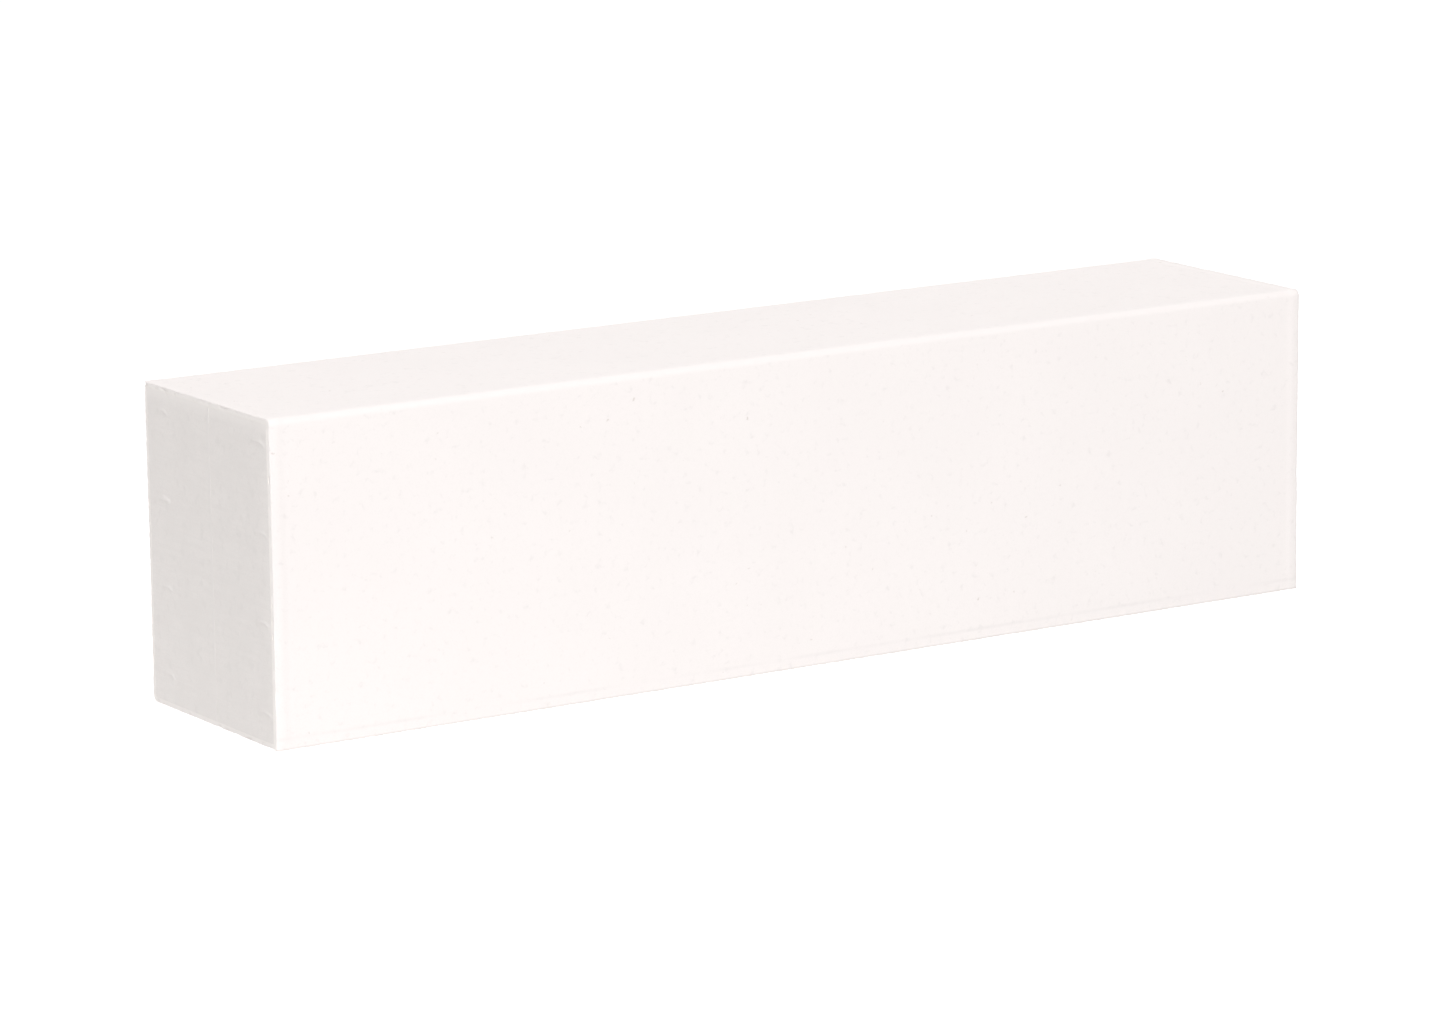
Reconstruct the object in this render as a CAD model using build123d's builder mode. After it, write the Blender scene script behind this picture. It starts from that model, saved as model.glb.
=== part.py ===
from build123d import *
import os

# A nail buffer block: a bar of foam glued up from two plies, covered on its four long faces by
# two L-shaped sheets of abrasive paper, and cut square at both ends.
# Millimetres. X runs along the block, -Y is the front, +Z is up, and the origin is the middle of
# the bottom face.

# Overall sizes, over the grit
block_length = 95.5
block_depth = 19.4
block_height = 25.0

# Abrasive sheet, from the grit inwards
coat_thickness = 0.16
paper_thickness = 0.22
adhesive_thickness = 0.10

# Core
bond_thickness = 0.25  # glue between the two foam plies
bond_middle = -0.35  # where that glue stands along Y; the front ply is the thinner one
core_bend_radius = 0.10  # foam edge that a sheet is bent over

sheet_thickness = coat_thickness + paper_thickness + adhesive_thickness
front = -block_depth / 2
rear = block_depth / 2
core_front = front + sheet_thickness
core_rear = rear - sheet_thickness
core_bottom = sheet_thickness
core_top = block_height - sheet_thickness
bond_front = bond_middle - bond_thickness / 2
bond_rear = bond_middle + bond_thickness / 2


def front_top_line(depth):
    """The front and top sheet at a depth below its grit: up the front, then back over the top."""
    top = block_height - depth
    return [(front + depth, 0), (front + depth, top), (rear, top)]


def rear_bottom_line(depth):
    """The rear and bottom sheet: down the rear, then forward under the block.

    It starts below the top sheet and stops behind the front one, which cover its two cut edges.
    """
    return [(rear - depth, core_top), (rear - depth, depth), (core_front, depth)]


def sheet_layer(label, line, depth, thickness):
    """One layer of a bent sheet: its outer line in the Y-Z plane, thickened towards the foam.

    The bends of all the layers share one centre, so each layer lies on the next.
    """
    bend_radius = core_bend_radius + sheet_thickness - depth
    with BuildPart() as layer:
        with BuildSketch(Plane.YZ):
            with BuildLine():
                FilletPolyline(line(depth), radius=bend_radius)
                offset(amount=thickness, side=Side.RIGHT)
            make_face()
        extrude(amount=block_length / 2, both=True)
    layer.part.label = label
    export_step(layer.part, f"parts/{label}.step")


def abrasive_sheet(name, line):
    """A sheet's three layers: grit in its resin, the paper it is coated on, and the glue behind."""
    sheet_layer(f"{name}_abrasive_coat", line, 0, coat_thickness)
    sheet_layer(f"{name}_backing_paper", line, coat_thickness, paper_thickness)
    sheet_layer(f"{name}_adhesive_film", line, coat_thickness + paper_thickness, adhesive_thickness)


os.makedirs("parts", exist_ok=True)

# Front ply, rounded along the top front edge, where the front and top sheet bends over it
with BuildPart() as foam_core_front:
    with BuildSketch(Plane.YZ) as front_section:
        with Locations((core_front, core_bottom)):
            Rectangle(
                bond_front - core_front,
                core_top - core_bottom,
                align=(Align.MIN, Align.MIN),
            )
        top_front = front_section.vertices().group_by(Axis.Y)[-1].sort_by(Axis.X)[0]
        fillet(top_front, radius=core_bend_radius)
    extrude(amount=block_length / 2, both=True)
foam_core_front.part.label = "foam_core_front"
export_step(foam_core_front.part, "parts/foam_core_front.step")

# Rear ply, rounded along the bottom rear edge, where the rear and bottom sheet bends under it
with BuildPart() as foam_core_rear:
    with BuildSketch(Plane.YZ) as rear_section:
        with Locations((bond_rear, core_bottom)):
            Rectangle(
                core_rear - bond_rear,
                core_top - core_bottom,
                align=(Align.MIN, Align.MIN),
            )
        bottom_rear = rear_section.vertices().group_by(Axis.Y)[0].sort_by(Axis.X)[-1]
        fillet(bottom_rear, radius=core_bend_radius)
    extrude(amount=block_length / 2, both=True)
foam_core_rear.part.label = "foam_core_rear"
export_step(foam_core_rear.part, "parts/foam_core_rear.step")

# Film of glue between the plies, standing on edge from the bottom of the core to its top
with BuildPart() as core_bond_film:
    with BuildSketch(Plane.YZ):
        with Locations((bond_middle, core_bottom)):
            Rectangle(bond_thickness, core_top - core_bottom, align=(Align.CENTER, Align.MIN))
    extrude(amount=block_length / 2, both=True)
core_bond_film.part.label = "core_bond_film"
export_step(core_bond_film.part, "parts/core_bond_film.step")

abrasive_sheet("front_top", front_top_line)
abrasive_sheet("rear_bottom", rear_bottom_line)
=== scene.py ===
"""A nail buffer block: a foam core of two plies, wrapped in two bent sheets of abrasive paper.

Every piece is a closed surface worked out from formulas on a grid, and takes its place and its
size from the block's CAD frame. Lengths are in metres, X runs along the block, -Y is its front
and +Z is up.
"""

import math

import bpy
import numpy as np
from bpy.props import FloatProperty, FloatVectorProperty, PointerProperty
from mathutils import Matrix, Vector


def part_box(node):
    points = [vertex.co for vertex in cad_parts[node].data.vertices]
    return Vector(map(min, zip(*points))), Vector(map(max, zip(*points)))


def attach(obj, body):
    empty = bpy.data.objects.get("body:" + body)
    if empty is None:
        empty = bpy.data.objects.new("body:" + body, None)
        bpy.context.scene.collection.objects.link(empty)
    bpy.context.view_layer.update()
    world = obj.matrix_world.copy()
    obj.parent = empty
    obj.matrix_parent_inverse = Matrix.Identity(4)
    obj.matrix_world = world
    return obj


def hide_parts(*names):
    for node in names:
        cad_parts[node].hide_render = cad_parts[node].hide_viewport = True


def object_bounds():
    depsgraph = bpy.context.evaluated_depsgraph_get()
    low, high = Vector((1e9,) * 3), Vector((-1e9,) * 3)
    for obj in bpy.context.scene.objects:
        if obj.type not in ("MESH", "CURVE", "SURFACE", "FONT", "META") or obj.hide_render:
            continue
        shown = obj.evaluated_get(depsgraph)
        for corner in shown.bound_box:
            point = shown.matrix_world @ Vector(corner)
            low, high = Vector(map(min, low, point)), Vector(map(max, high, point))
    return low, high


bl_info = {
    "name": "Nail Buffer Block",
    "version": (1, 0, 0),
    "blender": (4, 5, 0),
    "location": "3D Viewport > Sidebar > Buffer Block",
    "description": "Builds a nail buffer block, its materials and a light table to show it on",
    "category": "Object",
}

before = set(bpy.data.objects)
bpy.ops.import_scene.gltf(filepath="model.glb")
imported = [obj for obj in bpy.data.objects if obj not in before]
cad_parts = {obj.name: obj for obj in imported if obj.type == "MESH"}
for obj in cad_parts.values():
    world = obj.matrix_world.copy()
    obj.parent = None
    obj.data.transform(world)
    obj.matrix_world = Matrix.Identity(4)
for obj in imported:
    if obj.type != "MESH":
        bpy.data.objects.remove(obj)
cad_low, cad_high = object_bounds()

MM = 0.001
BODY = "root"
SHEETS = ("front_top", "rear_bottom")
LENGTH = cad_high.x - cad_low.x
CREASE = math.radians(40)  # faces that meet at more than this keep a sharp edge

# What each random surface is drawn from, so that every run makes the same one
SEEDS = {
    "left_cut": 11,
    "right_cut": 23,
    "foam_cells": 22,
    "bond": 24,
    "sheet_glue": 40,
    "paper": 60,
    "relief": 80,
    "chips": 90,
}

# Where the extra rings of points stand along a foam ply, closing up towards both its ends
PLY_RINGS = np.concatenate([[0.002, 0.01], np.linspace(0.05, 0.95, 10), [0.99, 0.998]])

# The two columns of knife marks on a cut end: the middle of each along Y, and its half width
MARK_COLUMNS = ((cad_high.y - 2.8 * MM, 1.0 * MM), (cad_low.y + 1.7 * MM, 1.2 * MM))
LOWEST_MARK = 2.4 * MM  # height of the tips of the lowest mark
MARK_SAG = 0.30 * MM  # how far the middle of a mark stands above its tips
MARK_SPREAD = 0.15 * MM  # how soon a mark's ridge falls away from its crest

# The lamps under the light table: middle and reach, both along X and Y, and the glow it adds
TABLE_LAMPS = (
    ((cad_low.x - 27 * MM, 15 * MM), (150 * MM, 150 * MM), 0.27),
    ((30 * MM, -50 * MM), (80 * MM, 50 * MM), 0.11),
)
TABLE_RADIUS = 4.0
SOFTBOX_SIDE = 0.35
SENSOR_WIDTH = 36  # millimetres, as in a full-frame camera
CAMERA_AIM = Vector((-1.70 * MM, 0.71 * MM, 11.19 * MM))


def linear(hex_colour):
    """An sRGB hex colour as linear red, green and blue."""
    srgb = np.array([int(hex_colour[i : i + 2], 16) for i in (1, 3, 5)]) / 255
    return tuple(np.where(srgb <= 0.04045, srgb / 12.92, ((srgb + 0.055) / 1.055) ** 2.4))


def length_property(name, description, millimetres):
    """A length that the user can change, stored in metres."""
    return FloatProperty(
        name=name, description=description, default=millimetres * MM, min=0, unit="LENGTH", precision=6
    )


def colour_property(name, description, hex_colour):
    """A surface colour that the user can change, stored as linear light."""
    return FloatVectorProperty(
        name=name, description=description, default=linear(hex_colour), min=0, max=1, subtype="COLOR"
    )


def angle_property(name, description, degrees):
    """An angle that the user can change, stored in radians."""
    return FloatProperty(name=name, description=description, default=math.radians(degrees), subtype="ANGLE")


def power_property(name, description, watts):
    """The power of a softbox, which the user can change."""
    return FloatProperty(name=name, description=description, default=watts, min=0, unit="POWER")


def glow_property(name, description, strength):
    """The strength of a glowing surface, which the user can change."""
    return FloatProperty(name=name, description=description, default=strength, min=0)


class BlockSizes(bpy.types.PropertyGroup):
    """How fine the surfaces are drawn, and the marks that cutting leaves on them."""

    grit_pitch: length_property("Grit pitch", "Spacing of the points that draw the grit", 0.235)
    grit_height: length_property("Grit height", "How far the grains stand up from the coat", 0.006)
    coat_wave: length_property("Coat wave", "How far the coated faces are from flat", 0.010)
    border_width: length_property("Border width", "From a cut edge of the grit to the line along it", 0.74)
    border_crest: length_property("Border crest", "Height of that line where the block was cut", 0.040)
    border_groove: length_property("Border groove", "Depth of that line where the sheet was cut", 0.014)
    edge_lip: length_property("Edge lip", "How far the grit rounds down at a cut of the block", 0.030)
    chip_depth: length_property("Chip depth", "Depth of the chips along a cut edge of the grit", 0.030)
    fibre_length: length_property("Fibre length", "How far paper fibres stand out of a cut", 0.016)
    cell_pitch: length_property("Cell pitch", "Spacing of the points that draw the cut foam", 0.10)
    cell_depth: length_property("Cell depth", "Depth of the cells that the knife opened", 0.007)
    end_swell: length_property("End swell", "How far the foam swells out of a cut end", 0.120)
    end_dish: length_property("End dish", "How far a cut end is dished from top to bottom", 0.050)
    end_fall: length_property("End fall", "How far a cut end falls away towards the front", 0.040)
    end_roll: length_property("End roll", "How far a cut end drops along its top border", 0.160)
    end_burr: length_property("End burr", "How far a cut end stands out where the blade left it", 0.090)
    knife_drag: length_property("Knife drag", "Height of the streaks that the blade dragged", 0.006)
    knife_pitch: length_property("Knife pitch", "Distance between two marks of the scalloped knife", 6.8)
    knife_mark: length_property("Knife mark", "Height of those marks", 0.065)


class BlockColours(bpy.types.PropertyGroup):
    """The colours of the real materials."""

    grit: colour_property("Grit", "White aluminium oxide under its powdery top coat", "#F4EEEC")
    # Also the colour of the painted shade along the front's foot and the right end's edge.
    speck: colour_property("Speck", "Dark grains in the coat", "#D3CAC4")
    paper: colour_property("Paper", "Cut edge of the backing paper", "#F1ECE9")
    glue: colour_property("Sheet glue", "Glue behind the paper", "#F0EBE7")
    foam: colour_property("Foam", "Knife-cut foam", "#E9E4E1")
    bond: colour_property("Bond", "Glue between the plies", "#E8E3E0")
    table: colour_property("Table", "Light table that the block stands on", "#FFFFFF")


class StageSettings(bpy.types.PropertyGroup):
    """The camera, and the lights of a white studio."""

    azimuth: angle_property("Azimuth", "Camera's turn round the block", -32.87)
    elevation: angle_property("Elevation", "Camera's height over the table", 11.77)
    roll: angle_property("Roll", "Camera's tilt to one side", -0.58)
    distance: length_property("Distance", "From the camera to the point it is aimed at", 468.9)
    lens: FloatProperty(name="Lens", description="Focal length in millimetres", default=147.9, min=1)
    key_power: power_property("Key light", "Softbox over the front", 14.5)
    side_power: power_property("Side light", "Softbox on the left", 0.62)
    back_power: power_property("Back light", "Softbox behind", 1.92)
    room_light: glow_property("Room light", "Even light from all round", 0.08)
    table_glow: glow_property("Table glow", "Light that the table gives off", 0.955)


# ---------------------------------------------------------------- surfaces


def noise(u, v, cell_u, cell_v, seed):
    """Smooth random heights, about -1 to 1, at the points (u, v).

    Random numbers sit on a lattice of cell_u by cell_v, and each point takes a cubic B-spline
    blend of the four by four numbers round it. The four weights of a direction sum to 6. Blending
    evens the numbers out, and the stretch brings them back to about -1 to 1.
    """
    side, weight_sum, stretch = 512, 6 * 6, 2.2
    lattice = np.random.default_rng(seed).uniform(-1, 1, (side, side))
    u, v = np.broadcast_arrays(u / cell_u, v / cell_v)
    low_u, low_v = np.floor(u).astype(int), np.floor(v).astype(int)

    def blend(t):
        return ((1 - t) ** 3, 3 * t**3 - 6 * t**2 + 4, -3 * t**3 + 3 * t**2 + 3 * t + 1, t**3)

    height = np.zeros(u.shape)
    for i, weight_u in enumerate(blend(u - low_u)):
        for j, weight_v in enumerate(blend(v - low_v)):
            height += weight_u * weight_v * lattice[(low_u + i) % side, (low_v + j) % side]
    return height / weight_sum * stretch


def smooth_step(t):
    """0 below 0, 1 above 1, and an S-shaped cubic between."""
    t = np.clip(t, 0, 1)
    return t * t * (3 - 2 * t)


def stations(length, pitch, first=None):
    """Distances from 0 to length, about pitch apart, and closing up to `first` towards both ends.

    From an end inwards each step is the last one times the growth, until it reaches the pitch.
    """
    if first is None:
        return np.linspace(0, length, max(2, round(length / pitch) + 1))
    growth = 1.35
    steps = first * growth ** np.arange(math.ceil(math.log(pitch / first, growth)))
    border = np.concatenate([[0], np.cumsum(steps)])
    middle = np.linspace(border[-1], length - border[-1], round((length - 2 * border[-1]) / pitch) + 1)
    return np.concatenate([border, middle[1:-1], length - border[::-1]])


def panel(points, every):
    """A grid of points as faces, which face the side where its two directions turn anticlockwise.

    With every = 1 each cell is a square face. With more, the border keeps all its points and the
    middle only every so many, and triangles sew the two together.
    Returns the points, the square faces, the triangles, and the border's points in order.
    """
    across, along = points.shape[:2]
    up, on = np.arange(across - 1), np.arange(along - 1)
    i = np.concatenate([up, np.full(along - 1, across - 1), up[::-1] + 1, np.zeros(along - 1, int)])
    j = np.concatenate([np.zeros(across - 1, int), on, np.full(across - 1, along - 1), on[::-1] + 1])
    if every == 1:
        number = np.arange(across * along).reshape(across, along)
        return points.reshape(-1, 3), squares(number), np.zeros((0, 3), int), number[i, j]
    rim = len(i)
    kept_i, kept_j = (
        np.round(np.linspace(every, n - 1 - every, max(2, (n - 1) // every - 1))).astype(int)
        for n in (across, along)
    )
    number = rim + np.arange(len(kept_i) * len(kept_j)).reshape(len(kept_i), len(kept_j))
    middle_i, middle_j = (i + np.roll(i, -1)) / 2, (j + np.roll(j, -1)) / 2
    near_i = np.abs(kept_i[:, None] - middle_i).argmin(0)
    near_j = np.abs(kept_j[:, None] - middle_j).argmin(0)
    apex = number[near_i, near_j]
    before = np.roll(apex, 1)
    k = np.arange(rim)
    fans = np.stack([k, (k + 1) % rim, apex], 1)
    gaps = np.stack([k, apex, before], 1)[apex != before]
    kept = np.concatenate([points[i, j], points[np.ix_(kept_i, kept_j)].reshape(-1, 3)])
    return kept, squares(number), np.concatenate([fans, gaps]), k


def squares(number):
    """The square faces of a grid of point numbers."""
    return np.stack([number[:-1, :-1], number[1:, :-1], number[1:, 1:], number[:-1, 1:]], -1).reshape(-1, 4)


def solid(name, top, bottom, material, top_every=1, bottom_every=1, shares=()):
    """A closed piece between two facing grids of points, walled round their borders.

    Shares are how far down the wall, from 0 at the top grid to 1 at the bottom one, it has
    extra rings of points.
    """
    upper, upper_squares, upper_triangles, upper_rim = panel(top, top_every)
    lower, lower_squares, lower_triangles, lower_rim = panel(bottom, bottom_every)
    rim_top, rim_bottom = upper[upper_rim], lower[lower_rim]
    rings = [rim_top * (1 - share) + rim_bottom * share for share in shares]
    points = np.concatenate([upper, lower, *rings])
    first_ring = len(upper) + len(lower)
    ring_numbers = [first_ring + n * len(upper_rim) + np.arange(len(upper_rim)) for n in range(len(rings))]
    levels = [upper_rim, *ring_numbers, lower_rim + len(upper)]
    wall = [np.stack([a, b, np.roll(b, -1), np.roll(a, -1)], 1) for a, b in zip(levels[:-1], levels[1:])]
    faces_4 = np.concatenate([upper_squares, lower_squares[:, ::-1] + len(upper), *wall])
    faces_3 = np.concatenate([upper_triangles, lower_triangles[:, ::-1] + len(upper)])
    return new_piece(name, points, faces_4, faces_3, material)


def new_piece(name, points, faces_4, faces_3, material):
    """A mesh object in the shared frame, made of square faces and triangles."""
    corners = np.concatenate([faces_4.ravel(), faces_3.ravel()]).astype(np.int32)
    counts = np.concatenate([np.full(len(faces_4), 4), np.full(len(faces_3), 3)])
    starts = np.concatenate([[0], np.cumsum(counts)[:-1]]).astype(np.int32)
    mesh = bpy.data.meshes.new(name)
    mesh.vertices.add(len(points))
    mesh.vertices.foreach_set("co", points.astype(np.float32).ravel())
    mesh.loops.add(len(corners))
    mesh.loops.foreach_set("vertex_index", corners)
    mesh.polygons.add(len(counts))
    mesh.polygons.foreach_set("loop_start", starts)
    mesh.polygons.foreach_set("use_smooth", np.ones(len(counts), bool))
    mesh.update(calc_edges=True)
    mesh.set_sharp_from_angle(angle=CREASE)
    mesh.materials.append(material)
    piece = bpy.data.objects.new(name, mesh)
    bpy.context.scene.collection.objects.link(piece)
    return piece


# ------------------------------------------------------- the knife-cut ends


def cut_depth(y, z, sizes, side):
    """How far inside the block's end the knife cut lies at each (y, z), or outside it if negative.

    The foam swells evenly once it is cut. Added to that level are a dish from top to bottom, a
    parabola; a slow fall towards the front; a tight roll along each border, strongest at the top
    and the front, where the blade came in; a burr that rises towards the rear, where it left; long
    streaks that it dragged across the block; and a column of crescent ridges near each side, one
    for every tooth of the scalloped knife. Falls, rolls and burr are exponentials of the distance
    from their border. The right end, with side = 1, rolls less than the left one, with side = -1.
    """
    from_front, from_rear = np.clip(y - cad_low.y, 0, None), np.clip(cad_high.y - y, 0, None)
    from_top, from_bottom = np.clip(cad_high.z - z, 0, None), np.clip(z - cad_low.z, 0, None)
    half_z = (cad_high.z - cad_low.z) / 2
    seed, rolled = (SEEDS["left_cut"], 1.0) if side < 0 else (SEEDS["right_cut"], 0.3)
    tight, slow = 0.45 * MM, 3.0 * MM  # how soon rolls and falls die out
    front_share, far_share = 0.6, 0.2  # of the roll along the top
    streak_length, streak_width = 5 * MM, 0.30 * MM
    sway_length, sway_width = 7 * MM, 2.5 * MM
    dish = 1 - ((from_top - half_z) / half_z) ** 2
    roll = np.exp(-from_top / tight) + front_share * np.exp(-from_front / tight)
    far_roll = np.exp(-from_rear / tight) + np.exp(-from_bottom / tight)
    drag = noise(y, z, streak_length, streak_width, seed)
    sway = noise(y, z, sway_length, sway_width, seed + 1)
    return (
        sizes.end_dish * dish
        + sizes.end_fall * np.exp(-from_front / slow)
        + rolled * sizes.end_roll * (roll + far_share * far_roll)
        - sizes.end_burr * np.exp(-from_rear / slow)
        + sizes.knife_drag * (2 + drag + sway)
        - sizes.knife_mark * knife_marks(y, z, sizes)
        - sizes.end_swell
    )


def knife_marks(y, z, sizes):
    """The crescent ridges that the knife leaves, from 0 off them to 1 on their crests.

    Each ridge follows an arch, sag times (1 - (across / half width) squared), with a Gaussian
    section, and fades out at its tips.
    """
    height = np.zeros(np.broadcast(y, z).shape)
    for middle, half_width in MARK_COLUMNS:
        across = (y - middle) / half_width
        nearest = np.round((z - LOWEST_MARK) / sizes.knife_pitch) * sizes.knife_pitch + LOWEST_MARK
        arch = nearest + MARK_SAG * (1 - across**2)
        height += np.exp(-(((z - arch) / MARK_SPREAD) ** 2)) * smooth_step(2 * (1 - np.abs(across)))
    return height


# ------------------------------------------------------------ bent sheets


def layer_depth(node):
    """How deep a layer of the front sheet lies below the grit."""
    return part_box(node)[0].y - cad_low.y


def bend_radius():
    """The outer radius of the sheets' bends: the foam's rounded edge plus all the layers on it."""
    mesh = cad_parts["foam_core_front"].data
    points = np.empty(len(mesh.vertices) * 3)
    mesh.vertices.foreach_get("co", points)
    points = points.reshape(-1, 3)
    rounding_error = 0.001 * MM
    on_front = points[:, 1] < points[:, 1].min() + rounding_error
    return layer_depth("foam_core_front") + points[:, 2].max() - points[on_front, 2].max()


def sheet_line(sheet):
    """The start, corner and end, in (y, z), of a sheet's grit face, as if it bent sharply."""
    if sheet == "front_top":
        return (cad_low.y, cad_low.z), (cad_low.y, cad_high.z), (cad_high.y, cad_high.z)
    core = layer_depth("foam_core_front")
    return (cad_high.y, cad_high.z - core), (cad_high.y, cad_low.z), (cad_low.y + core, cad_low.z)


def sheet_length(sheet):
    """The length of a sheet across the block, measured on its grit."""
    start, corner, end = (np.array(p) for p in sheet_line(sheet))
    radius = bend_radius()
    runs = np.linalg.norm(corner - start) + np.linalg.norm(end - corner)
    return runs - 2 * radius + radius * math.pi / 2


def bent(sheet, s):
    """Points (y, z) and outward normals of a sheet's grit face at the distances s round it.

    A straight run, a quarter circle of the bend radius, and a second straight run: the normal
    turns by the distance into the bend over the radius, and the point is the bend's centre plus
    the radius along the normal, carried back or on along the runs.
    """
    start, corner, end = (np.array(p) for p in sheet_line(sheet))
    first = (corner - start) / np.linalg.norm(corner - start)
    second = (end - corner) / np.linalg.norm(end - corner)
    radius = bend_radius()
    run = np.linalg.norm(corner - start) - radius
    centre = corner - radius * first + radius * second
    angle = np.clip((s - run) / radius, 0, math.pi / 2)[..., None]
    normal = first * np.sin(angle) - second * np.cos(angle)
    before = np.minimum(s - run, 0)[..., None] * first
    after = np.maximum(s - run - radius * math.pi / 2, 0)[..., None] * second
    return centre + radius * normal + before + after, normal


def sheet_grid(sheet, along, around, depth, sizes, ragged=0.0, cell=0.2 * MM, seed=0):
    """A grid of points on one face of a layer, cut off by the knife at both ends of the block.

    along runs from 0 to the block's length and around from 0 to the sheet's. depth is below the
    grit, one number or a grid of them. ragged is how far the cut border is torn back, and cell is
    how far apart its tears are. Inwards they die out by an exponential, over the same distance.
    """
    place, normal = bent(sheet, around)
    x, s = along[:, None], around[None, :]
    length = around[-1]
    torn = ragged * torn_edge(x, s, cell, seed)
    depth = depth + np.zeros(torn.shape)
    yz = place[None] - normal[None] * depth[..., None]
    towards = np.gradient(place, around, axis=0)[None]
    inwards = np.exp(-s / cell) - np.exp(-(length - s) / cell)
    yz = yz + towards * (torn * inwards)[..., None]
    y, z = yz[..., 0], yz[..., 1]
    left = cad_low.x + cut_depth(y, z, sizes, -1) + torn * np.exp(-x / cell)
    right = cad_high.x - cut_depth(y, z, sizes, 1) - torn * np.exp(-(LENGTH - x) / cell)
    return np.stack([left + (right - left) * x / LENGTH, y, z], -1)


def torn_edge(x, s, cell, seed):
    """How far a cut edge is torn back: mostly 0 to 1, and up to 4 in a nick now and then.

    A nick is where a second, broader noise times its steepness is above a threshold.
    """
    nick_size, steepness, threshold, nick_depth = 2.5 * cell, 2.5, 1.4, 3
    fine = 0.5 + 0.5 * noise(x, s, cell, cell, seed)
    nicks = smooth_step(steepness * noise(x, s, nick_size, nick_size, seed + 1) - threshold)
    return np.clip(fine, 0, 1) + nick_depth * nicks


def border_line(distance, width):
    """How strong the line along a cut edge is, 0 to 1, at a distance from that edge.

    It grows by an S-shaped slope over the first width, and is gone again after another third.
    """
    return smooth_step(distance / width) * (1 - smooth_step(3 * (distance / width - 1)))


def coat_relief(along, around, sizes, seed):
    """How deep the grit's surface lies below the block's true face, over a grid.

    Slow waves of the foam below, soft mottles where the resin ran, and single grains. Where the
    knife cut the block to length a low crest stands along the border, and the lip itself is
    rounded off by an exponential. Where the sheet was cut, a groove runs there instead.
    """
    x, s = along[:, None], around[None, :]
    wave_along, wave_around = 14 * MM, 9 * MM
    mottle_size, mottle_height = 1.6 * MM, 0.0025 * MM
    lip_reach = 0.15 * sizes.border_width
    waves = noise(x, s, wave_along, wave_around, seed)
    mottles = noise(x, s, mottle_size, mottle_size, seed + 1)
    grains = noise(x, s, sizes.grit_pitch, sizes.grit_pitch, seed + 2)
    from_knife = np.minimum(x, LENGTH - x)
    from_edge = np.minimum(s, around[-1] - s)
    return (
        sizes.coat_wave * (1 + waves)
        + mottle_height * (1 + mottles)
        + sizes.grit_height * (1 - grains)
        + sizes.border_crest * (1 - border_line(from_knife, sizes.border_width))
        + sizes.border_groove * border_line(from_edge, sizes.border_width)
        + sizes.edge_lip * np.exp(-from_knife / lip_reach)
    )


# -------------------------------------------------------------- materials

MIX_A, MIX_B, MIXED = 6, 7, 2  # the Mix node's own numbers for its two colours and its result


def add(tree, kind, inputs, **settings):
    """Adds a node, gives it its settings, sets or links its inputs, and returns its outputs."""
    node = tree.nodes.new(kind)
    for name, value in settings.items():
        setattr(node, name, value)
    for name, value in inputs.items():
        if isinstance(value, bpy.types.NodeSocket):
            tree.links.new(value, node.inputs[name])
        else:
            node.inputs[name].default_value = value
    return node.outputs


def shaded(colour, share):
    """A colour with its light multiplied by a share, as four numbers."""
    return (*(c * share for c in colour), 1.0)


def laid_over(tree, under, over, pattern, start, full, most=1.0):
    """A colour laid over another: none of it where a pattern is at start, the most of it at full.

    Between the two it grows by an S-shaped slope.
    """
    amount = add(
        tree,
        "ShaderNodeMapRange",
        {"Value": pattern, "From Min": start, "From Max": full, "To Max": most},
        interpolation_type="SMOOTHSTEP",
    )["Result"]
    colours = {"Factor": amount, MIX_A: under, MIX_B: over}
    return add(tree, "ShaderNodeMix", colours, data_type="RGBA")[MIXED]


def new_material(name, make_pattern, colours, finish):
    """A material whose pattern is worked out over the piece's own coordinates, in metres.

    make_pattern takes the colours, or the one colour, that it needs, adds its nodes and returns
    the shader's linked inputs. finish holds the inputs that are the same all over the surface.
    """
    material = bpy.data.materials.new(name)
    material.use_nodes = True
    tree = material.node_tree
    tree.nodes.clear()
    place = add(tree, "ShaderNodeTexCoord", {})["Object"]
    pattern = make_pattern(tree, place, colours)
    shader = add(tree, "ShaderNodeBsdfPrincipled", {**finish, **pattern})
    add(tree, "ShaderNodeOutputMaterial", {"Surface": shader["BSDF"]})
    return material


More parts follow.
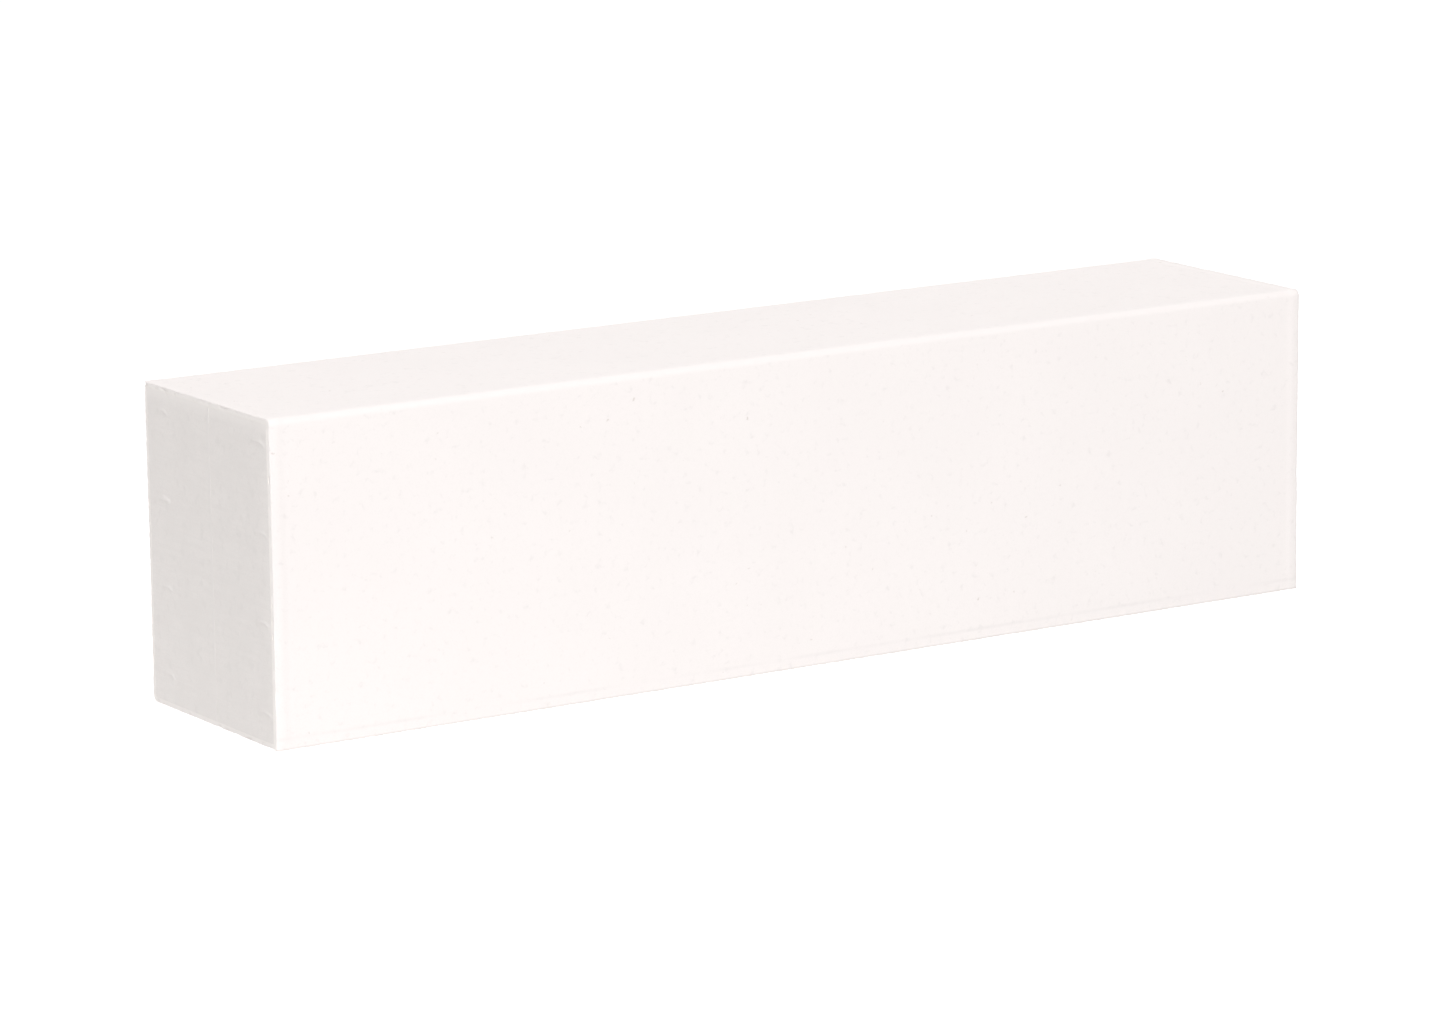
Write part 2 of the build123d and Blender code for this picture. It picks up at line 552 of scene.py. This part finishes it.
def coated_grit(tree, place, colours):
    """White aluminium oxide grit, resin bonded and dusted with stearate.

    The eye sees an even, dead matt white with a fine tooth, cloudy where the top coat lies
    thicker, faintly scuffed, and now and then a dark grain, most of them in loose clusters. The
    grains are 0.08 mm across and are drawn half as large again, so that they show.
    """
    grit, speck = colours.grit, shaded(colours.speck, 1.0)
    clouds = add(tree, "ShaderNodeTexNoise", {"Vector": place, "Scale": 1 / (11 * MM), "Detail": 3})["Fac"]
    tooth = add(tree, "ShaderNodeTexNoise", {"Vector": place, "Scale": 1 / (0.12 * MM), "Detail": 2})["Fac"]
    scuffs = add(
        tree,
        "ShaderNodeTexNoise",
        {"Vector": place, "Scale": 1 / (0.6 * MM), "Detail": 3, "Roughness": 0.55, "Distortion": 0.3},
    )["Fac"]
    cloudy = add(
        tree,
        "ShaderNodeMapRange",
        {"Value": clouds, "From Min": 0.35, "From Max": 0.65},
        interpolation_type="SMOOTHSTEP",
    )["Result"]
    white = add(
        tree,
        "ShaderNodeMix",
        {"Factor": cloudy, MIX_A: shaded(grit, 0.99), MIX_B: shaded(grit, 1.0)},
        data_type="RGBA",
    )[MIXED]
    toothed = laid_over(tree, white, shaded(grit, 0.965), tooth, start=0.50, full=0.35, most=0.5)
    scuffed = laid_over(tree, toothed, shaded(grit, 0.93), scuffs, start=0.56, full=0.78)
    nearness = dark_grains(tree, place, clouds)
    specked = laid_over(tree, scuffed, speck, nearness, start=0, full=0.09, most=0.62)
    strength = add(tree, "ShaderNodeMath", {0: cloudy, 1: scuffs}, operation="MULTIPLY")["Value"]
    colour = painted_edge_light_and_shade(tree, place, colours, specked, strength)
    fine = add(tree, "ShaderNodeBump", {"Height": tooth, "Distance": 0.006 * MM})["Normal"]
    normal = add(
        tree,
        "ShaderNodeBump",
        {"Height": scuffs, "Distance": 0.012 * MM, "Normal": fine},
    )["Normal"]
    return {"Base Color": colour, "Normal": normal}


def dark_grains(tree, place, clouds):
    """How far inside a dark grain a point lies: positive in one, and negative off them all.

    Grains lie in cells 1.15 mm apart, and a finer noise makes their outlines ragged. A grain's
    reach grows with its cell's random number times the clouds, so it is nothing in many cells and
    the larger grains come in clusters.
    """
    warp = add(tree, "ShaderNodeTexNoise", {"Vector": place, "Scale": 1 / (0.20 * MM), "Detail": 2})["Color"]
    ragged = add(
        tree,
        "ShaderNodeVectorMath",
        {0: warp, 1: (0.4 * MM, 0.4 * MM, 0.4 * MM), 2: place},
        operation="MULTIPLY_ADD",
    )["Vector"]
    grains = add(tree, "ShaderNodeTexVoronoi", {"Vector": ragged, "Scale": 1 / (1.15 * MM)})
    kind = add(tree, "ShaderNodeSeparateColor", {"Color": grains["Color"]})
    chosen = add(tree, "ShaderNodeMath", {0: kind["Red"], 1: clouds}, operation="MULTIPLY")["Value"]
    reach = add(
        tree,
        "ShaderNodeMapRange",
        {"Value": chosen, "From Min": 0.20, "From Max": 0.60, "To Max": 0.15},
    )["Result"]
    return add(tree, "ShaderNodeMath", {0: reach, 1: grains["Distance"]}, operation="SUBTRACT")["Value"]


def painted_edge_light_and_shade(tree, place, colours, coat, strength):
    """The light and shade painted along the edges of a coat.

    Along the two bends, where Z less Y is furthest from its middle value, the coat is painted paler:
    a painted highlight, with a little real rubbing of the coat there. A faint and broken darker line,
    painted shade of the groove there, runs a little above the front sheet's bottom edge, and as far
    below the top at the rear, where the sheets were cut; strength says where it shows. The last of the
    front's foot and of the right end is painted darker: painted shade where the foot meets the table
    and along the far cut edge.
    """
    shade_line_place, shade_line_width = 0.86 * MM, 0.24 * MM
    edge_shade_width, edge_shade_most = 0.22 * MM, 0.55
    swollen_end = cad_high.x + 0.08 * MM  # about where the border of the cut end has swollen to
    front_limit = cad_low.y + 0.3 * MM
    half_height = (cad_high.z - cad_low.z) / 2
    middle = (cad_high.z + cad_low.z) / 2
    across = add(tree, "ShaderNodeSeparateXYZ", {"Vector": place})
    slant = add(tree, "ShaderNodeMath", {0: across["Z"], 1: across["Y"]}, operation="SUBTRACT")["Value"]
    off_middle = add(tree, "ShaderNodeMath", {0: slant, 1: middle}, operation="SUBTRACT")["Value"]
    towards_bend = add(tree, "ShaderNodeMath", {0: off_middle}, operation="ABSOLUTE")["Value"]
    corner = half_height - cad_low.y
    bend_start, bend_full = corner - 0.62 * MM, corner - 0.38 * MM
    # Painted highlight along the bends, with a little real rubbing of the coat: the coat is paler there.
    bend_rub_and_highlight = laid_over(tree, coat, shaded(colours.grit, 1.04), towards_bend, bend_start, bend_full)
    height = add(tree, "ShaderNodeMath", {0: across["Z"], 1: middle}, operation="SUBTRACT")["Value"]
    rear = add(tree, "ShaderNodeMath", {0: across["Y"]}, operation="SIGN")["Value"]
    towards_cut = add(tree, "ShaderNodeMath", {0: height, 1: rear}, operation="MULTIPLY")["Value"]
    # Painted shade: a faint, broken darker line along the groove near the sheets' cut edges.
    line = half_height - shade_line_place
    off_line = add(tree, "ShaderNodeMath", {0: towards_cut, 1: line}, operation="SUBTRACT")["Value"]
    from_line = add(tree, "ShaderNodeMath", {0: off_line}, operation="ABSOLUTE")["Value"]
    groove_shade = shaded(colours.grit, 0.90)
    with_groove_shade = laid_over(tree, bend_rub_and_highlight, groove_shade, from_line, start=shade_line_width, full=0, most=strength)
    # Painted shade: darker along the front's foot, where it meets the table, and along the right end's cut
    # edge.
    foot_shade, end_edge_shade = (
        add(
            tree,
            "ShaderNodeMapRange",
            {"Value": distance, "From Min": border - edge_shade_width, "From Max": border, "To Max": edge_shade_most},
            interpolation_type="SMOOTHSTEP",
        )["Result"]
        for distance, border in ((towards_cut, half_height), (across["X"], swollen_end))
    )
    front = add(tree, "ShaderNodeMath", {0: across["Y"], 1: front_limit}, operation="LESS_THAN")["Value"]
    foot = add(tree, "ShaderNodeMath", {0: foot_shade, 1: front}, operation="MULTIPLY")["Value"]
    edge_shade = add(tree, "ShaderNodeMath", {0: foot, 1: end_edge_shade}, operation="MAXIMUM")["Value"]
    return add(
        tree,
        "ShaderNodeMix",
        {"Factor": edge_shade, MIX_A: with_groove_shade, MIX_B: shaded(colours.speck, 1.0)},
        data_type="RGBA",
    )[MIXED]


def cut_paper(tree, place, colours):
    """Latex-filled backing paper, sliced by a knife: a cream felt of fibres, soft and matt."""
    fibres = add(tree, "ShaderNodeTexNoise", {"Vector": place, "Scale": 1 / (0.09 * MM), "Detail": 3})["Fac"]
    colour = add(
        tree,
        "ShaderNodeMix",
        {"Factor": fibres, MIX_A: shaded(colours.paper, 0.95), MIX_B: shaded(colours.paper, 1.0)},
        data_type="RGBA",
    )[MIXED]
    normal = add(tree, "ShaderNodeBump", {"Height": fibres, "Distance": 0.02 * MM})["Normal"]
    return {"Base Color": colour, "Normal": normal}


def cut_glue(tree, place, colour):
    """Hot-melt glue, rolled on and cut cold: ivory, faintly cloudy and a little glossy."""
    clouds = add(tree, "ShaderNodeTexNoise", {"Vector": place, "Scale": 1 / (4 * MM), "Detail": 4})["Fac"]
    tinted = add(
        tree,
        "ShaderNodeMix",
        {"Factor": clouds, MIX_A: shaded(colour, 0.96), MIX_B: shaded(colour, 1.0)},
        data_type="RGBA",
    )[MIXED]
    normal = add(tree, "ShaderNodeBump", {"Height": clouds, "Distance": 0.01 * MM})["Normal"]
    return {"Base Color": tinted, "Normal": normal}


def cut_foam(tree, place, colours):
    """Closed-cell EVA foam, sliced by a knife: fine open cells, brushed sideways by the blade.

    The cells are 0.1 mm across and are drawn at 0.16 mm, so that they show. The blade's drag is
    a noise drawn out along Y, the way that the knife crossed the block. Along the top, under the
    top sheet, the foam is painted paler: painted light along the top border of each cut end.
    """
    foam = colours.foam
    cells = add(tree, "ShaderNodeTexVoronoi", {"Vector": place, "Scale": 1 / (0.16 * MM)})["Distance"]
    clouds = add(tree, "ShaderNodeTexNoise", {"Vector": place, "Scale": 1 / (2.5 * MM), "Detail": 3})["Fac"]
    clumps = add(
        tree,
        "ShaderNodeTexNoise",
        {"Vector": place, "Scale": 1 / (0.8 * MM), "Detail": 3, "Roughness": 0.55, "Distortion": 0.2},
    )["Fac"]
    drawn = add(tree, "ShaderNodeMapping", {"Vector": place, "Scale": (1, 0.07, 1)})["Vector"]
    drag = add(tree, "ShaderNodeTexNoise", {"Vector": drawn, "Scale": 1 / (0.30 * MM), "Detail": 2})["Fac"]
    height = add(tree, "ShaderNodeSeparateXYZ", {"Vector": place})["Z"]
    clotted = laid_over(tree, shaded(foam, 0.98), shaded(foam, 1.0), clouds, start=0.35, full=0.65)
    clumped = laid_over(tree, clotted, shaded(foam, 0.95), clumps, start=0.52, full=0.72)
    dragged = laid_over(tree, clumped, shaded(foam, 0.965), drag, start=0.6, full=0.3, most=0.6)
    pitted = laid_over(tree, dragged, shaded(foam, 0.93), cells, start=0.5, full=0.1, most=0.5)
    # Painted light: the foam is paler along the top of each cut end.
    top_light_start, top_light_full = cad_high.z - 1.5 * MM, cad_high.z - 0.4 * MM
    painted_top_light = laid_over(tree, pitted, shaded(foam, 1.03), height, top_light_start, top_light_full)
    walls = add(tree, "ShaderNodeBump", {"Height": cells, "Distance": 0.010 * MM})["Normal"]
    normal = add(tree, "ShaderNodeBump", {"Height": drag, "Distance": 0.010 * MM, "Normal": walls})["Normal"]
    return {"Base Color": painted_top_light, "Normal": normal}


def opal_table(tree, place, colours):
    """Opal acrylic light table: milky, and lit from below so that no shadow shows.

    It glows evenly, and more over its two lamps: a broad one beyond the block's left end and a
    weak one in front of its right half. Over each lamp the glow rises by an S-shaped slope from
    nothing at the lamp's reach to its extra at the middle. The acrylic itself sends back little of
    the light that falls on it.
    """
    glow = 1.0
    for middle, reach, extra in TABLE_LAMPS:
        shift = (-middle[0] / reach[0], -middle[1] / reach[1], 0)
        scale = (1 / reach[0], 1 / reach[1], 1)
        lamp = add(tree, "ShaderNodeMapping", {"Vector": place, "Location": shift, "Scale": scale})["Vector"]
        away_from_lamp = add(tree, "ShaderNodeVectorMath", {0: lamp}, operation="LENGTH")["Value"]
        rise = add(
            tree,
            "ShaderNodeMapRange",
            {"Value": away_from_lamp, "From Min": 1, "From Max": 0, "To Max": extra},
            interpolation_type="SMOOTHSTEP",
        )["Result"]
        glow = add(tree, "ShaderNodeMath", {0: rise, 1: glow}, operation="ADD")["Value"]
    clouds = add(tree, "ShaderNodeTexNoise", {"Vector": place, "Scale": 1 / (120 * MM), "Detail": 1})["Fac"]
    colour = add(
        tree,
        "ShaderNodeMix",
        {"Factor": clouds, MIX_A: shaded(colours.table, 0.055), MIX_B: shaded(colours.table, 0.065)},
        data_type="RGBA",
    )[MIXED]
    light = add(tree, "ShaderNodeVectorMath", {0: (1, 1, 1), "Scale": glow}, operation="SCALE")["Vector"]
    return {"Base Color": colour, "Emission Color": light}


# -------------------------------------------------------------- operators


class PieceOperator:
    """What the operators that make a piece of the block share."""

    bl_options = {"REGISTER", "UNDO"}

    def finish_piece(self, piece, node, slot):
        """The piece moves with the block and stands for its CAD node, which it hides. slot is not used."""
        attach(piece, BODY)
        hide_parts(node)


class BUFFER_OT_foam_plies(PieceOperator, bpy.types.Operator):
    """Makes the two plies of foam, with their knife-cut ends"""

    bl_idname = "buffer_block.foam_plies"
    bl_label = "Foam Plies"

    def execute(self, context):
        sizes = context.scene.buffer_sizes
        colours = context.scene.buffer_colours
        material = new_material("knife_cut_eva_foam", cut_foam, colours, {"Roughness": 0.88, "IOR": 1.45})
        fillet = bend_radius() - layer_depth("foam_core_front")
        for name, node, corner in (
            ("foam_ply_front", "foam_core_front", (0, 1)),
            ("foam_ply_rear", "foam_core_rear", (1, 0)),
        ):
            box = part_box(node)
            ends = [self.end_grid(box, corner, fillet, side, sizes) for side in (-1, 1)]
            ply = solid(name, ends[0], ends[1], material, shares=PLY_RINGS)
            self.finish_piece(ply, node, "core_foam")
        return {"FINISHED"}

    def end_grid(self, box, corner, fillet, side, sizes):
        """The points of one cut end, over a grid across the ply.

        Next to the rounded corner the square grid is drawn in to a quarter circle: with a and b
        the distances from the arc's centre over its radius, a goes to a times the root of
        (1 - b squared / 2), and b likewise.
        """
        low, high = box
        z, y = np.meshgrid(
            low.z + stations(high.z - low.z, sizes.cell_pitch),
            low.y + stations(high.y - low.y, sizes.cell_pitch),
            indexing="ij",
        )
        sign_y, sign_z = (1 if c else -1 for c in corner)
        corner_y, corner_z = box[corner[0]].y, box[corner[1]].z
        a = np.clip(1 - (corner_y - y) * sign_y / fillet, 0, 1)
        b = np.clip(1 - (corner_z - z) * sign_z / fillet, 0, 1)
        y = y - sign_y * fillet * a * (1 - np.sqrt(1 - b**2 / 2))
        z = z - sign_z * fillet * b * (1 - np.sqrt(1 - a**2 / 2))
        cell = 1.3 * sizes.cell_pitch
        cells = sizes.cell_depth * (1 + noise(y, z, cell, cell, SEEDS["foam_cells"] + 6 * side))
        depth = cut_depth(y, z, sizes, side) + cells
        end = cad_low.x if side < 0 else cad_high.x
        return np.stack([end - side * depth, y, z], -1)


class BUFFER_OT_bond_film(PieceOperator, bpy.types.Operator):
    """Makes the film of glue between the two plies, a hair proud of the foam at both ends"""

    bl_idname = "buffer_block.bond_film"
    bl_label = "Bond Film"

    def execute(self, context):
        sizes = context.scene.buffer_sizes
        rise, ripple_width, ripple_length = 0.004 * MM, 0.5 * MM, 1.5 * MM
        low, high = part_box("core_bond_film")
        z, y = np.meshgrid(
            low.z + stations(high.z - low.z, sizes.cell_pitch),
            low.y + stations(high.y - low.y, 0.5 * sizes.cell_pitch),
            indexing="ij",
        )
        grids = []
        for side, end in ((-1, cad_low.x), (1, cad_high.x)):
            proud = rise * (1 + noise(y, z, ripple_width, ripple_length, SEEDS["bond"] + 6 * side))
            grids.append(np.stack([end - side * (cut_depth(y, z, sizes, side) - proud), y, z], -1))
        colour = context.scene.buffer_colours.bond
        material = new_material("cold_cut_core_glue", cut_glue, colour, {"Roughness": 0.6, "IOR": 1.48})
        film = solid("bond_film", grids[0], grids[1], material, shares=np.linspace(0.1, 0.9, 9))
        self.finish_piece(film, "core_bond_film", "bond_glue")
        return {"FINISHED"}


class BUFFER_OT_glue_films(PieceOperator, bpy.types.Operator):
    """Makes the glue behind each abrasive sheet"""

    bl_idname = "buffer_block.glue_films"
    bl_label = "Glue Films"

    def execute(self, context):
        sizes = context.scene.buffer_sizes
        colour = context.scene.buffer_colours.glue
        material = new_material("rolled_sheet_glue", cut_glue, colour, {"Roughness": 0.55, "IOR": 1.48})
        tear = {"ragged": 0.004 * MM, "cell": 0.3 * MM}
        top, bottom = layer_depth("front_top_adhesive_film"), layer_depth("foam_core_front")
        along = stations(LENGTH, pitch=0.4 * MM, first=0.05 * MM)
        for seed, sheet in enumerate(SHEETS, SEEDS["sheet_glue"]):
            around = stations(sheet_length(sheet), pitch=0.15 * MM)
            faces = [
                sheet_grid(sheet, along, around, depth, sizes, seed=seed, **tear) for depth in (top, bottom)
            ]
            film = solid(f"{sheet}_glue", faces[0], faces[1], material, top_every=12, bottom_every=12)
            self.finish_piece(film, f"{sheet}_adhesive_film", "sheet_glue")
        return {"FINISHED"}


class BUFFER_OT_backing_papers(PieceOperator, bpy.types.Operator):
    """Makes the backing paper of each abrasive sheet, with fibres along its cut edges"""

    bl_idname = "buffer_block.backing_papers"
    bl_label = "Backing Papers"

    def execute(self, context):
        sizes = context.scene.buffer_sizes
        colours = context.scene.buffer_colours
        material = new_material("knife_cut_latex_paper", cut_paper, colours, {"Roughness": 0.9, "IOR": 1.5})
        tear = {"ragged": sizes.fibre_length, "cell": 0.12 * MM}
        top, bottom = layer_depth("front_top_backing_paper"), layer_depth("front_top_adhesive_film")
        along = stations(LENGTH, pitch=0.2 * MM, first=0.05 * MM)
        for seed, sheet in enumerate(SHEETS, SEEDS["paper"]):
            around = stations(sheet_length(sheet), pitch=0.1 * MM)
            faces = [
                sheet_grid(sheet, along, around, depth, sizes, seed=seed + 10 * side, **tear)
                for side, depth in enumerate((top, bottom))
            ]
            paper = solid(f"{sheet}_paper", faces[0], faces[1], material, top_every=16, bottom_every=16)
            self.finish_piece(paper, f"{sheet}_backing_paper", "backing_paper")
        return {"FINISHED"}


class BUFFER_OT_abrasive_coats(PieceOperator, bpy.types.Operator):
    """Makes the two abrasive coats, with their grains, their waves and their chipped cut edges"""

    bl_idname = "buffer_block.abrasive_coats"
    bl_label = "Abrasive Coats"

    def execute(self, context):
        sizes = context.scene.buffer_sizes
        colours = context.scene.buffer_colours
        finish = {"Roughness": 0.82, "IOR": 1.5}
        material = new_material("stearated_aluminium_oxide_grit", coated_grit, colours, finish)
        tear = {"ragged": sizes.chip_depth, "cell": 0.22 * MM}
        bottom = layer_depth("front_top_backing_paper")
        along = stations(LENGTH, sizes.grit_pitch, first=0.04 * MM)
        for number, sheet in enumerate(SHEETS):
            around = stations(sheet_length(sheet), sizes.grit_pitch, first=0.04 * MM)
            relief = coat_relief(along, around, sizes, SEEDS["relief"] + 10 * number)
            grit = sheet_grid(sheet, along, around, relief, sizes, seed=SEEDS["chips"] + number, **tear)
            back = sheet_grid(sheet, along, around, bottom, sizes)
            coat = solid(f"{sheet}_grit", grit, back, material, bottom_every=12)
            self.finish_piece(coat, f"{sheet}_abrasive_coat", "abrasive_coat")
        return {"FINISHED"}


def away(azimuth, elevation):
    """The direction away from the block: azimuth turns from its front to its right."""
    level = math.cos(elevation)
    return Vector((math.sin(azimuth) * level, -math.cos(azimuth) * level, math.sin(elevation)))


class BUFFER_OT_stage(bpy.types.Operator):
    """Sets up the light table, the camera and soft studio light"""

    bl_idname = "buffer_block.stage"
    bl_label = "Stage"
    bl_options = {"REGISTER", "UNDO"}

    def execute(self, context):
        stage = context.scene.buffer_stage
        context.scene.view_settings.view_transform = "Standard"
        self.add_table(context)
        self.add_camera(context, stage)
        for name, azimuth_degrees, elevation_degrees, distance, power in (
            ("key_softbox", -25, 55, 1.3, stage.key_power),
            ("side_softbox", -75, 15, 0.9, stage.side_power),
            ("back_softbox", 150, 42, 0.7, stage.back_power),
        ):
            direction = away(math.radians(azimuth_degrees), math.radians(elevation_degrees))
            self.add_softbox(context, name, direction, distance, power)
        world = bpy.data.worlds.new("white_room")
        world.use_nodes = True
        background = world.node_tree.nodes["Background"]
        background.inputs["Color"].default_value = (1, 1, 1, 1)
        background.inputs["Strength"].default_value = stage.room_light
        context.scene.world = world
        return {"FINISHED"}

    def add_table(self, context):
        """A flat disc that stretches well past the camera's view."""
        rings, spokes = 24, 96
        radii = TABLE_RADIUS * np.linspace(0, 1, rings) ** 2
        r, turn = np.meshgrid(radii, np.linspace(0, 2 * math.pi, spokes + 1), indexing="ij")
        points = np.stack([r * np.cos(turn), r * np.sin(turn), np.full(r.shape, cad_low.z)], -1)
        finish = {"Roughness": 0.6, "IOR": 1.49, "Emission Strength": context.scene.buffer_stage.table_glow}
        material = new_material("opal_acrylic", opal_table, context.scene.buffer_colours, finish)
        kept, faces_4, faces_3 = panel(points, 1)[:3]
        new_piece("light_table", kept, faces_4, faces_3, material)

    def add_camera(self, context, stage):
        """Aims the camera at a point a little left of the block's middle, behind it and below it."""
        data = bpy.data.cameras.new("camera")
        data.lens = stage.lens
        data.sensor_width = SENSOR_WIDTH
        camera = bpy.data.objects.new("camera", data)
        context.scene.collection.objects.link(camera)
        back = away(stage.azimuth, stage.elevation)
        turn = (-back).to_track_quat("-Z", "Y").to_matrix().to_4x4() @ Matrix.Rotation(stage.roll, 4, "Z")
        camera.matrix_world = Matrix.Translation(CAMERA_AIM + back * stage.distance) @ turn
        context.scene.camera = camera

    def add_softbox(self, context, name, direction, distance, power):
        """A square light at that distance from the block, facing it."""
        data = bpy.data.lights.new(name, "AREA")
        data.shape = "SQUARE"
        data.size = SOFTBOX_SIDE
        data.energy = power
        light = bpy.data.objects.new(name, data)
        context.scene.collection.objects.link(light)
        turn = (-direction).to_track_quat("-Z", "Y").to_matrix().to_4x4()
        light.matrix_world = Matrix.Translation(direction * distance) @ turn


class BUFFER_PT_panel(bpy.types.Panel):
    """The block's sizes and colours, and a button for each of its pieces"""

    bl_idname = "BUFFER_PT_panel"
    bl_label = "Buffer Block"
    bl_space_type = "VIEW_3D"
    bl_region_type = "UI"
    bl_category = "Buffer Block"

    def draw(self, context):
        scene = context.scene
        for group in (scene.buffer_sizes, scene.buffer_colours, scene.buffer_stage):
            box = self.layout.box()
            for name in group.__annotations__:
                box.prop(group, name)
        for operator in OPERATORS:
            self.layout.operator(operator.bl_idname)


OPERATORS = (
    BUFFER_OT_foam_plies,
    BUFFER_OT_bond_film,
    BUFFER_OT_glue_films,
    BUFFER_OT_backing_papers,
    BUFFER_OT_abrasive_coats,
    BUFFER_OT_stage,
)
GROUPS = {"buffer_sizes": BlockSizes, "buffer_colours": BlockColours, "buffer_stage": StageSettings}
CLASSES = (*GROUPS.values(), *OPERATORS, BUFFER_PT_panel)


def register():
    for cls in CLASSES:
        bpy.utils.register_class(cls)
    for name, group in GROUPS.items():
        setattr(bpy.types.Scene, name, PointerProperty(type=group))


def unregister():
    for name in GROUPS:
        delattr(bpy.types.Scene, name)
    for cls in reversed(CLASSES):
        bpy.utils.unregister_class(cls)


def main():
    """Builds the block piece by piece, then the stage."""
    register()
    bpy.ops.buffer_block.foam_plies()
    bpy.ops.buffer_block.bond_film()
    bpy.ops.buffer_block.glue_films()
    bpy.ops.buffer_block.backing_papers()
    bpy.ops.buffer_block.abrasive_coats()
    bpy.ops.buffer_block.stage()


if __name__ == "__main__":
    main()
